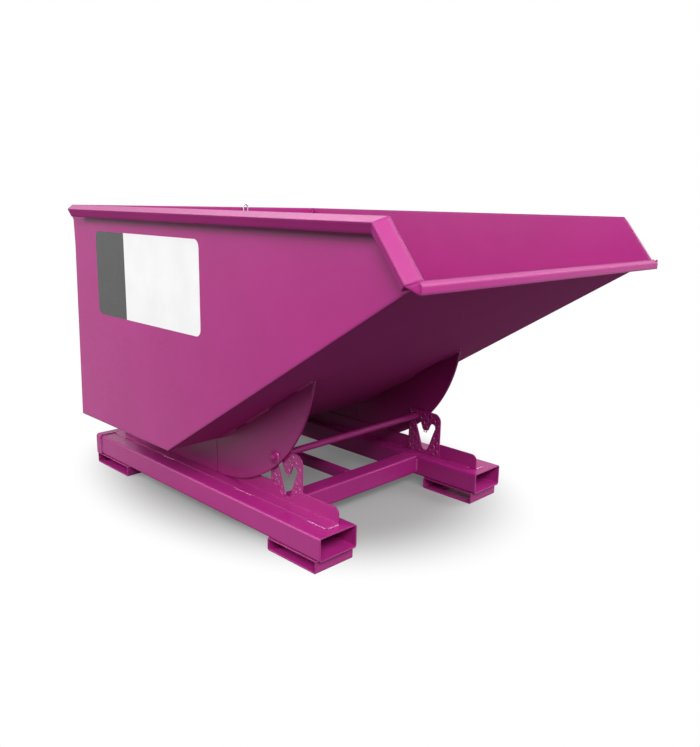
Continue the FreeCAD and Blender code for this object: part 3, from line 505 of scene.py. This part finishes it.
# Feet, collars and latch ears
FOOT_TOP = 0.055
FOOT_SEAM_X = (0.406, 0.594)
FOOT_SEAM_IN = 0.004
LAST_FOOT_SEAM_Y = along(0.92)
COLLAR_Y = along(0.884)
COLLAR_TOP_STITCHES = ((0.412, 0.454), (0.528, 0.588))
COLLAR_FACES = ((0.600, 1), (0.400, -1))
COLLAR_FACE_Z = (0.060, 0.141)


def foot_welds(sign):
    """Seams across the ends of the feet, except where a foot reaches behind the tube."""
    ends = sorted(sign * x for x in FOOT_SEAM_X)
    runs = []
    for foot in ("foot_front", "foot_rear"):
        low, high = side_box(foot, sign)
        for edge, way in ((low.y, -1), (high.y, 1)):
            if edge <= LAST_FOOT_SEAM_Y:
                runs.append(along_x(ends, edge - way * FOOT_SEAM_IN, FOOT_TOP, (0, way, 0), DOWN))
    return runs


def collar_welds(sign):
    runs = []
    for stitch in COLLAR_TOP_STITCHES:
        runs.append(along_x([sign * x for x in stitch], COLLAR_Y, TUBE_TOP, AHEAD, UP))
    for x, way in COLLAR_FACES:
        runs.append(along_z(sign * x, COLLAR_Y, COLLAR_FACE_Z, AHEAD, (sign * way, 0, 0)))
    return runs


def ear_welds(sign):
    return [seam_outside("latch_ear", sign, SHORT_SEAM_END, False, UP)]


add_welds("foot_welds", "frame", both_sides(foot_welds), leg=0.008, pitch=0.007)
add_welds("collar_welds", "frame", both_sides(collar_welds), leg=0.004, pitch=0.005)
add_welds("ear_welds", "frame", both_sides(ear_welds), leg=0.004, pitch=0.005)

# Lines of the hopper's plates
FOLD = Vector((0, along(-0.023), 0.338))
LIP_LOW = Vector((0, along(-1.374), 1.173))
SLOPE_WAY = (LIP_LOW - FOLD).normalized()
SLOPE_IN = Vector((0, SLOPE_WAY.z, -SLOPE_WAY.y))
FLOOR_LOW, FLOOR_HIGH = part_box("floor_plate")
SIDE_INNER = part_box("side_plate_right")[0].x
ROCKER_LOW, ROCKER_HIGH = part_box("rocker_right")
BAR_LOW, BAR_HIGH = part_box("cross_bar")
BAR_Y = (BAR_LOW.y + BAR_HIGH.y) / 2
BAR_Z = (BAR_LOW.z + BAR_HIGH.z) / 2
BAR_RADIUS = 0.015
BOSS_RADIUS = 0.025
CORNER_GAP = 0.004
SLOPE_STITCHES = [(0.352, 0.402), (0.452, 0.545), (0.655, ROCKER_HIGH.z - CORNER_GAP)]
FLOOR_STITCHES = [(0.020, 0.110), (0.260, 0.350), (0.480, 0.570), (0.650, 0.732)]


def on_slope(height):
    return FOLD + SLOPE_WAY * ((height - FOLD.z) / SLOPE_WAY.z)


def rocker_welds(sign):
    """Stitches on both faces of a rocker, under the slope and under the floor."""
    runs = []
    for face, way in ((ROCKER_LOW.x, -1), (ROCKER_HIGH.x, 1)):
        x = sign * face
        out = (sign * way, 0, 0)
        for first, last in SLOPE_STITCHES:
            low, high = on_slope(first), on_slope(last)
            runs.append(straight((x, low.y, low.z), (x, high.y, high.z), out, -SLOPE_IN))
        for first, last in FLOOR_STITCHES:
            runs.append(along_y(x, (along(first), along(last)), FOLD.z, out, DOWN))
    return runs


def bar_welds(sign):
    outer = circle(sign * ROCKER_HIGH.x, BAR_Y, BAR_Z, BOSS_RADIUS, sign)
    inner = circle(sign * ROCKER_LOW.x, BAR_Y, BAR_Z, BAR_RADIUS, -sign)
    return [outer, inner]


add_welds("rocker_welds", "hopper", both_sides(rocker_welds), leg=0.007, pitch=0.007)
add_welds("bar_welds", "hopper", both_sides(bar_welds), leg=0.0045, pitch=0.0055)

# Seams inside the hopper
BACK_FOOT_Y = along(0.746)
BACK_BEND = (along(0.715), 1.165)
BACK_TOP = (along(0.721), 1.344)
SLOPE_SEAM_Y = FLOOR_LOW.y + CORNER_GAP
SLOPE_SEAM_TOP = LIP_LOW + SLOPE_IN * CORNER_GAP + Vector((0, 0.006, -0.003))
BACK_SEAM_HALF = SIDE_INNER - SEAM_END


def inside_welds(sign):
    """Continuous seams where the side plates meet the floor, the slope and the back."""
    x = sign * SIDE_INNER
    inwards = (-sign, 0, 0)
    corner = (x, SLOPE_SEAM_Y, FLOOR_HIGH.z)
    slope_end = (x, SLOPE_SEAM_TOP.y, SLOPE_SEAM_TOP.z)
    back_foot = (x, BACK_FOOT_Y, FLOOR_HIGH.z + CORNER_GAP)
    return [
        straight(corner, (x, BACK_FOOT_Y - CORNER_GAP, FLOOR_HIGH.z), inwards, UP),
        straight(corner, slope_end, inwards, SLOPE_IN),
        straight(back_foot, (x, *BACK_BEND), inwards, AHEAD),
        straight((x, *BACK_BEND), (x, *BACK_TOP), inwards, AHEAD),
    ]


back_seam = along_x((-BACK_SEAM_HALF, BACK_SEAM_HALF), BACK_FOOT_Y, FLOOR_HIGH.z, AHEAD, UP)
add_welds(
    "inside_welds", "hopper", both_sides(inside_welds) + [back_seam],
    leg=0.006, pitch=0.009,
)

# Lip, rear flare and striker lugs
LIP_BOX_LOW, LIP_BOX_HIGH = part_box("front_lip")
LIP_BEND_Z = 1.163
LIP_SEAM_OUT = 0.0005
LIP_SEAM_IN = 0.0028
LIP_SEAM_FOOT = 0.002
LIP_SEAM_SLANT = 0.7
FLARE_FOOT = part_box("rear_rim_flare")[0]
FLARE_STITCHES = (-0.63, -0.38, -0.13, 0.13, 0.38, 0.63)
FLARE_STITCH_HALF = 0.03


def lip_end_welds(sign):
    """Upright seam between the lip and the plate at its end."""
    x = sign * (LIP_BOX_HIGH.x + LIP_SEAM_OUT)
    y = LIP_BOX_LOW.y + LIP_SEAM_IN
    upright = (LIP_BOX_LOW.z + LIP_SEAM_FOOT, LIP_BEND_Z)
    slant = (sign * LIP_SEAM_SLANT, -LIP_SEAM_SLANT, 0)
    return [along_z(x, y, upright, (-sign, 0, 0), slant)]


def flare_welds():
    runs = []
    for middle in FLARE_STITCHES:
        ends = (middle - FLARE_STITCH_HALF, middle + FLARE_STITCH_HALF)
        runs.append(along_x(ends, FLARE_FOOT.y, FLARE_FOOT.z, DOWN, BEHIND))
    return runs


def lug_welds(sign):
    return [seam_outside("striker_lug", sign, 0, True, DOWN)]


add_welds("lip_end_welds", "hopper", both_sides(lip_end_welds), leg=0.003, pitch=0.004)
add_welds("flare_welds", "hopper", flare_welds(), leg=0.004, pitch=0.005)
add_welds("lug_welds", "hopper", both_sides(lug_welds), leg=0.005, pitch=0.005)

# Raised pattern of the tread plate
LOZENGE_PITCH = 0.0219
LOZENGE_LENGTH = 0.025
LOZENGE_WIDTH = 0.0062
LOZENGE_HEIGHT = 0.0020
LOZENGE_TILT = 45
LOZENGE_COLUMNS = range(-6, 7)
LOZENGE_ROWS = range(12)
FIRST_COLUMN = 0.5
FIRST_ROW = 0.6
LOZENGE_SHORTEST = 0.4 * LOZENGE_LENGTH
LOZENGE_SAMPLES = 24
LOZENGE_POINTS = 12
LOZENGE_BLUNTNESS = 1.25
# Share of the outline and of the height at each level, from just inside the plate to the top
LOZENGE_LEVELS = ((1.0, -0.2), (1.0, 0.0), (0.86, 0.55), (0.62, 0.88), (0.30, 1.0))
EDGE_MARGIN = 0.003
FOOT_MARGIN = 0.007
NOTCH_MARGIN_Y = 0.009
NOTCH_MARGIN_Z = 0.006
BRACKET_CORNER = 0.040
SLOT_STEPS = 120


def bar_middle(angle):
    """Middle of the cross bar, in Y and Z, when the hopper has rolled through an angle."""
    turn = BAR_ANGLE - angle
    ahead = ROCKER_RADIUS * angle + BAR_REACH * math.sin(turn)
    return along(-ahead), TRACK_Z + ROCKER_RADIUS - BAR_REACH * math.cos(turn)


SLOT_PATH = [bar_middle(LAST_ANGLE * step / SLOT_STEPS) for step in range(SLOT_STEPS + 1)]


def plate_is_bare(y, z, behind_guide):
    """Whether a lozenge may cover this point of the bracket's face."""
    if not BRACKET_LOW.y + EDGE_MARGIN < y < BRACKET_HIGH.y - EDGE_MARGIN:
        return False
    if not TUBE_TOP + FOOT_MARGIN < z < BRACKET_HIGH.z - EDGE_MARGIN:
        return False
    corner = (BRACKET_LOW.y + BRACKET_CORNER, BRACKET_HIGH.z - BRACKET_CORNER)
    if y < corner[0] and z > corner[1]:
        if math.hypot(y - corner[0], z - corner[1]) > BRACKET_CORNER - EDGE_MARGIN:
            return False
    to_slot = min(math.hypot(y - spot[0], z - spot[1]) for spot in SLOT_PATH)
    if to_slot < SLOT_HALF_WIDTH + EDGE_MARGIN:
        return False
    if behind_guide and z < GUIDE_TOP + EDGE_MARGIN:
        rise = (z - NOTCH_FLOOR_Z) / (GUIDE_TOP - NOTCH_FLOOR_Z)
        half = NOTCH_FLOOR_HALF + (NOTCH_TOP_HALF - NOTCH_FLOOR_HALF) * rise
        is_high = z > NOTCH_FLOOR_Z + NOTCH_MARGIN_Z
        return is_high and abs(y - SLOT_MIDDLE_Y) < half - NOTCH_MARGIN_Y
    return True


def bare_stretch(y, z, tilt, behind_guide):
    """Places along a lozenge's length that lie on the bare plate, or none where too few do."""
    kept = []
    for step in range(LOZENGE_SAMPLES + 1):
        place = LOZENGE_LENGTH * (step / LOZENGE_SAMPLES - 0.5)
        if plate_is_bare(y + place * math.cos(tilt), z + place * math.sin(tilt), behind_guide):
            kept.append(place)
        elif kept and kept[-1] - kept[0] < LOZENGE_SHORTEST:
            kept = []
        elif kept:
            break
    return kept if kept and kept[-1] - kept[0] >= LOZENGE_SHORTEST else []


def add_lozenge(shell, face, y, z, tilt, first, last):
    """Rounded lozenge on a plate's -X face, from first to last along its own length."""
    half = (last - first) / 2
    way = Vector((0, math.cos(tilt), math.sin(tilt)))
    across = Vector((0, -math.sin(tilt), math.cos(tilt)))
    centre = Vector((face, y, z)) + way * ((first + last) / 2)
    rings = []
    for share, height in LOZENGE_LEVELS:
        ring = []
        for index in range(LOZENGE_POINTS):
            turn = math.tau * index / LOZENGE_POINTS
            slim = abs(math.sin(turn)) ** LOZENGE_BLUNTNESS * math.copysign(1, math.sin(turn))
            spot = way * (half * math.cos(turn) * (share + 1) / 2)
            spot += across * (LOZENGE_WIDTH / 2 * slim * share)
            ring.append(centre + spot + Vector((-height * LOZENGE_HEIGHT, 0, 0)))
        rings.append(ring)
    shell.add_rings(rings)


def add_tread(name, face, behind_guide):
    shell = Shell()
    for column in LOZENGE_COLUMNS:
        for row in LOZENGE_ROWS:
            y = SLOT_MIDDLE_Y + (column + FIRST_COLUMN) * LOZENGE_PITCH
            z = TUBE_TOP + (row + FIRST_ROW) * LOZENGE_PITCH
            tilt = math.radians(LOZENGE_TILT if (column + row) % 2 else -LOZENGE_TILT)
            kept = bare_stretch(y, z, tilt, behind_guide)
            if kept:
                add_lozenge(shell, face, y, z, tilt, kept[0], kept[-1])
    add_piece(name, shell, "frame", RAISED_PAINT)


add_tread("tread_pattern_left", BRACKET_LOW.x, True)
add_tread("tread_pattern_right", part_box("slot_bracket_right")[0].x, False)

# Cable eye: round rod bent over and welded inside the back
EYE_LOW, EYE_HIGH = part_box("cable_eye")
EYE_X = (EYE_LOW.x + EYE_HIGH.x) / 2
EYE_Y = (EYE_LOW.y + EYE_HIGH.y) / 2
EYE_ROD = 0.005
EYE_ROD_INSET = 0.0001
EYE_ROD_POINTS = 20
EYE_HALF = 0.014
EYE_ARCH_Z = 1.353
EYE_ARCH_STEPS = 24
EYE_LEG_SHARES = (0, 0.02, 0.35, 0.7)
EYE_WELD_SIDE = 0.0035
EYE_WELD_Z = (EYE_LOW.z + 0.001, EYE_LOW.z + 0.024)


def eye_stations():
    """Middles of the rod with their directions, up one leg, over the arch and down the other."""
    stations = []
    for share in EYE_LEG_SHARES:
        height = EYE_LOW.z + (EYE_ARCH_Z - EYE_LOW.z) * share
        stations.append((Vector((EYE_X - EYE_HALF, EYE_Y, height)), Vector(UP)))
    for step in range(EYE_ARCH_STEPS + 1):
        turn = math.pi * step / EYE_ARCH_STEPS
        x = EYE_X - EYE_HALF * math.cos(turn)
        place = Vector((x, EYE_Y, EYE_ARCH_Z + EYE_HALF * math.sin(turn)))
        stations.append((place, Vector((math.sin(turn), 0, math.cos(turn)))))
    down = [(Vector((2 * EYE_X - place.x, EYE_Y, place.z)), -way) for place, way in stations]
    return stations + [item for item in reversed(down) if item[0].z < EYE_ARCH_Z]


def add_eye():
    """Round rod in place of the solid's rod of eight flats, a hair thinner to stay in its box."""
    across = Vector(BEHIND)
    radius = EYE_ROD - EYE_ROD_INSET
    rings = []
    for place, way in eye_stations():
        outward = way.cross(across).normalized()
        ring = []
        for index in range(EYE_ROD_POINTS):
            turn = math.tau * index / EYE_ROD_POINTS
            behind = across * (radius * math.cos(turn))
            ring.append(place + behind + outward * (radius * math.sin(turn)))
        rings.append(ring)
    shell = Shell()
    shell.add_rings(rings)
    rod = add_piece("cable_eye_rod", shell, "hopper", ZINC)
    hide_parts("cable_eye")


def eye_welds():
    runs = []
    for leg in (-EYE_HALF, EYE_HALF):
        for way in (-1, 1):
            x = EYE_X + leg + way * EYE_WELD_SIDE
            runs.append(along_z(x, EYE_Y + EYE_ROD, EYE_WELD_Z, (way, 0, 0), AHEAD))
    return runs


add_eye()
add_welds("eye_welds", "hopper", eye_welds(), leg=0.004, pitch=0.004)

# Blank two-tone label on the left flank
LABEL_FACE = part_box("side_plate_left")[0].x
LABEL_FRONT = along(-0.290)
LABEL_REAR = along(0.517)
LABEL_SPLIT = along(0.270)
LABEL_LOW = 0.866
LABEL_TOP = 1.239
LABEL_CORNER = 0.030
LABEL_CORNER_STEPS = 10
LABEL_THICK = 0.0006
# Lift from the plate and inset of the outline at each level
LABEL_LEVELS = ((-0.0003, 0), (0.6 * LABEL_THICK, 0), (LABEL_THICK, 0.0003))


def label_outline(first, last, round_first, round_last):
    """Outline in Y and Z with the corners of one or both ends rounded."""
    points = []
    for y, z, way_y, way_z, start, is_round in (
        (first, LABEL_LOW, 1, 1, math.pi, round_first),
        (last, LABEL_LOW, -1, 1, -math.pi / 2, round_last),
        (last, LABEL_TOP, -1, -1, 0, round_last),
        (first, LABEL_TOP, 1, -1, math.pi / 2, round_first),
    ):
        if not is_round:
            points.append((y, z))
            continue
        middle_y = y + way_y * LABEL_CORNER
        middle_z = z + way_z * LABEL_CORNER
        for step in range(LABEL_CORNER_STEPS + 1):
            turn = start + math.pi / 2 * step / LABEL_CORNER_STEPS
            edge_y = middle_y + LABEL_CORNER * math.cos(turn)
            points.append((edge_y, middle_z + LABEL_CORNER * math.sin(turn)))
    return points


def add_label(name, points, material):
    """Thin film that is sunk a little into the plate and has a narrow bevel."""
    centre_y = sum(point[0] for point in points) / len(points)
    centre_z = sum(point[1] for point in points) / len(points)
    rings = []
    for lift, inset in LABEL_LEVELS:
        ring = []
        for y, z in points:
            in_y, in_z = centre_y - y, centre_z - z
            length = math.hypot(in_y, in_z)
            spot = (LABEL_FACE - lift, y + in_y / length * inset, z + in_z / length * inset)
            ring.append(Vector(spot))
        rings.append(ring)
    shell = Shell()
    shell.add_rings(rings)
    add_piece(name, shell, "hopper", material, smooth=False)


WHITE_FILM = vinyl("white_label_film", (0.86, 0.86, 0.86), (0.91, 0.91, 0.91))
GREY_FILM = vinyl("grey_label_film", (0.030, 0.032, 0.030), (0.037, 0.039, 0.037))
add_label("label_white", label_outline(LABEL_FRONT, LABEL_SPLIT, True, False), WHITE_FILM)
add_label("label_grey", label_outline(LABEL_SPLIT, LABEL_REAR, False, True), GREY_FILM)

# Floor, camera and light
FLOOR_RADIUS = 40
FLOOR_SIDES = 96
FLOOR_TO_LIGHT = (0.06, 0.06, 0.06)
FLOOR_AS_SEEN = (0.31, 0.31, 0.31)
FLOOR_ROUGHNESS = 0.9
FLOOR_GLOSS = 0.1
# The shadow shows in an oval and fades to white between two multiples of its half axes
SHADOW_MIDDLE = (0.1, 0.4)
SHADOW_REACH = (0.9, 1.2)
FADE_FROM = 0.70
FADE_TO = 1.16
# Share of painted white glow kept even in the oval's middle, which lightens the floor's shadow
# there
LEAST_GLOW = 0.14
WORLD_LIGHT = 0.07
WHITE = (1, 1, 1, 1)
# Name, place, target, size and power; the right lamp is large and weak, as whole plates mirror it
LAMPS = (
    ("left_softbox", (-6.3, 4.9, 4.2), (0, 0, 0.5), (4.0, 3.0), 500),
    ("front_softbox", (-1.4, -7.0, 6.1), (0, 0, 0.4), (4.0, 3.0), 370),
    ("front_left_softbox", (-5.3, -5.4, 5.8), (0, 0, 0.4), (4.0, 3.0), 540),
    ("right_softbox", (5.3, -4.3, 6.6), (-0.8, -1.0, 1.2), (5.2, 5.2), 480),
    ("rear_softbox", (3.4, 5.8, 7.0), (0, 0, 0.8), (3.5, 3.5), 80),
)
CAMERA_PLACE = (-2.3620, -2.4357, 1.3819)
CAMERA_WAY = (0.69755, 0.68062, -0.22405)
CAMERA_ROLL = math.radians(1.2085)
CAMERA_LENS = 35.646
CAMERA_FAR_END = 200


def computed(tree, operation, first, second):
    node = tree.nodes.new("ShaderNodeMath")
    node.operation = operation
    tree.links.new(first, node.inputs[0])
    tree.links.new(second, node.inputs[1])
    return node.outputs[0]


def show_mix(tree, factor, first, second, output):
    """Show the first shader where the factor is 0 and the second where it is 1."""
    mix = tree.nodes.new("ShaderNodeMixShader")
    for index, source in enumerate((factor, first, second)):
        tree.links.new(source, mix.inputs[index])
    tree.links.new(mix.outputs[0], find_node(tree, output).inputs["Surface"])


def seen_rays(tree):
    """1 for rays that show the floor or the surroundings, also reflected, and 0 for light."""
    rays = tree.nodes.new("ShaderNodeLightPath").outputs
    result = rays["Is Camera Ray"]
    for kind in ("Is Glossy Ray", "Is Transmission Ray"):
        result = computed(tree, "MAXIMUM", result, rays[kind])
    return result


def add_floor():
    """Round pale floor that keeps the shadow near the hopper and is plain white far from it."""
    disc = bmesh.new()
    bmesh.ops.create_circle(disc, cap_ends=True, segments=FLOOR_SIDES, radius=FLOOR_RADIUS)
    mesh = bpy.data.meshes.new("floor")
    disc.to_mesh(mesh)
    disc.free()
    floor = bpy.data.objects.new("floor", mesh)
    bpy.context.scene.collection.objects.link(floor)
    material, tree, shader, coords = new_material("pale_floor")
    shader.inputs["Roughness"].default_value = FLOOR_ROUGHNESS
    shader.inputs["Specular IOR Level"].default_value = FLOOR_GLOSS
    seen = seen_rays(tree)
    tree.links.new(mixed(tree, seen, FLOOR_TO_LIGHT, FLOOR_AS_SEEN), shader.inputs["Base Color"])
    glow = tree.nodes.new("ShaderNodeEmission")
    oval = tree.nodes.new("ShaderNodeMapping")
    middle_x, middle_y = SHADOW_MIDDLE
    reach_x, reach_y = SHADOW_REACH
    oval.inputs["Scale"].default_value = (1 / reach_x, 1 / reach_y, 1)
    oval.inputs["Location"].default_value = (-middle_x / reach_x, -middle_y / reach_y, 0)
    tree.links.new(coords, oval.inputs["Vector"])
    distance = tree.nodes.new("ShaderNodeVectorMath")
    distance.operation = "LENGTH"
    tree.links.new(oval.outputs["Vector"], distance.inputs[0])
    fade = tree.nodes.new("ShaderNodeMapRange")
    fade.interpolation_type = "SMOOTHSTEP"
    fade.inputs["To Min"].default_value = LEAST_GLOW
    fade.inputs["From Min"].default_value = FADE_FROM
    fade.inputs["From Max"].default_value = FADE_TO
    tree.links.new(distance.outputs["Value"], fade.inputs["Value"])
    share = computed(tree, "MULTIPLY", seen, fade.outputs["Result"])
    show_mix(tree, share, shader.outputs[0], glow.outputs[0], "OUTPUT_MATERIAL")
    mesh.materials.append(material)


def add_world():
    """Soft even light, seen as plain white."""
    world = bpy.data.worlds.new("studio")
    bpy.context.scene.world = world
    world.use_nodes = True
    tree = world.node_tree
    light = find_node(tree, "BACKGROUND")
    light.inputs["Color"].default_value = WHITE
    light.inputs["Strength"].default_value = WORLD_LIGHT
    white = tree.nodes.new("ShaderNodeBackground")
    white.inputs["Color"].default_value = WHITE
    show_mix(tree, seen_rays(tree), light.outputs[0], white.outputs[0], "OUTPUT_WORLD")


def add_lamp(name, place, target, size, power):
    lamp = bpy.data.lights.new(name, "AREA")
    lamp.shape = "RECTANGLE"
    lamp.size, lamp.size_y = size
    lamp.energy = power
    holder = bpy.data.objects.new(name, lamp)
    holder.location = place
    holder.rotation_mode = "QUATERNION"
    holder.rotation_quaternion = (Vector(target) - Vector(place)).to_track_quat("-Z", "Y")
    bpy.context.scene.collection.objects.link(holder)


def add_camera():
    """Camera fitted to the photograph: yaw 45.7, pitch 12.9 down and roll 1.2 degrees."""
    forward = Vector(CAMERA_WAY).normalized()
    level = forward.cross(Vector(UP)).normalized()
    upright = level.cross(forward)
    right = level * math.cos(CAMERA_ROLL) + upright * math.sin(CAMERA_ROLL)
    up = upright * math.cos(CAMERA_ROLL) - level * math.sin(CAMERA_ROLL)
    data = bpy.data.cameras.new("camera")
    data.lens = CAMERA_LENS
    data.clip_end = CAMERA_FAR_END
    camera = bpy.data.objects.new("camera", data)
    columns = (right, up, -forward, Vector(CAMERA_PLACE))
    camera.matrix_world = Matrix((*zip(*columns), (0, 0, 0, 1)))
    bpy.context.scene.collection.objects.link(camera)
    bpy.context.scene.camera = camera


add_floor()
add_world()
for lamp in LAMPS:
    add_lamp(*lamp)
add_camera()
bpy.context.scene.view_settings.view_transform = "Standard"
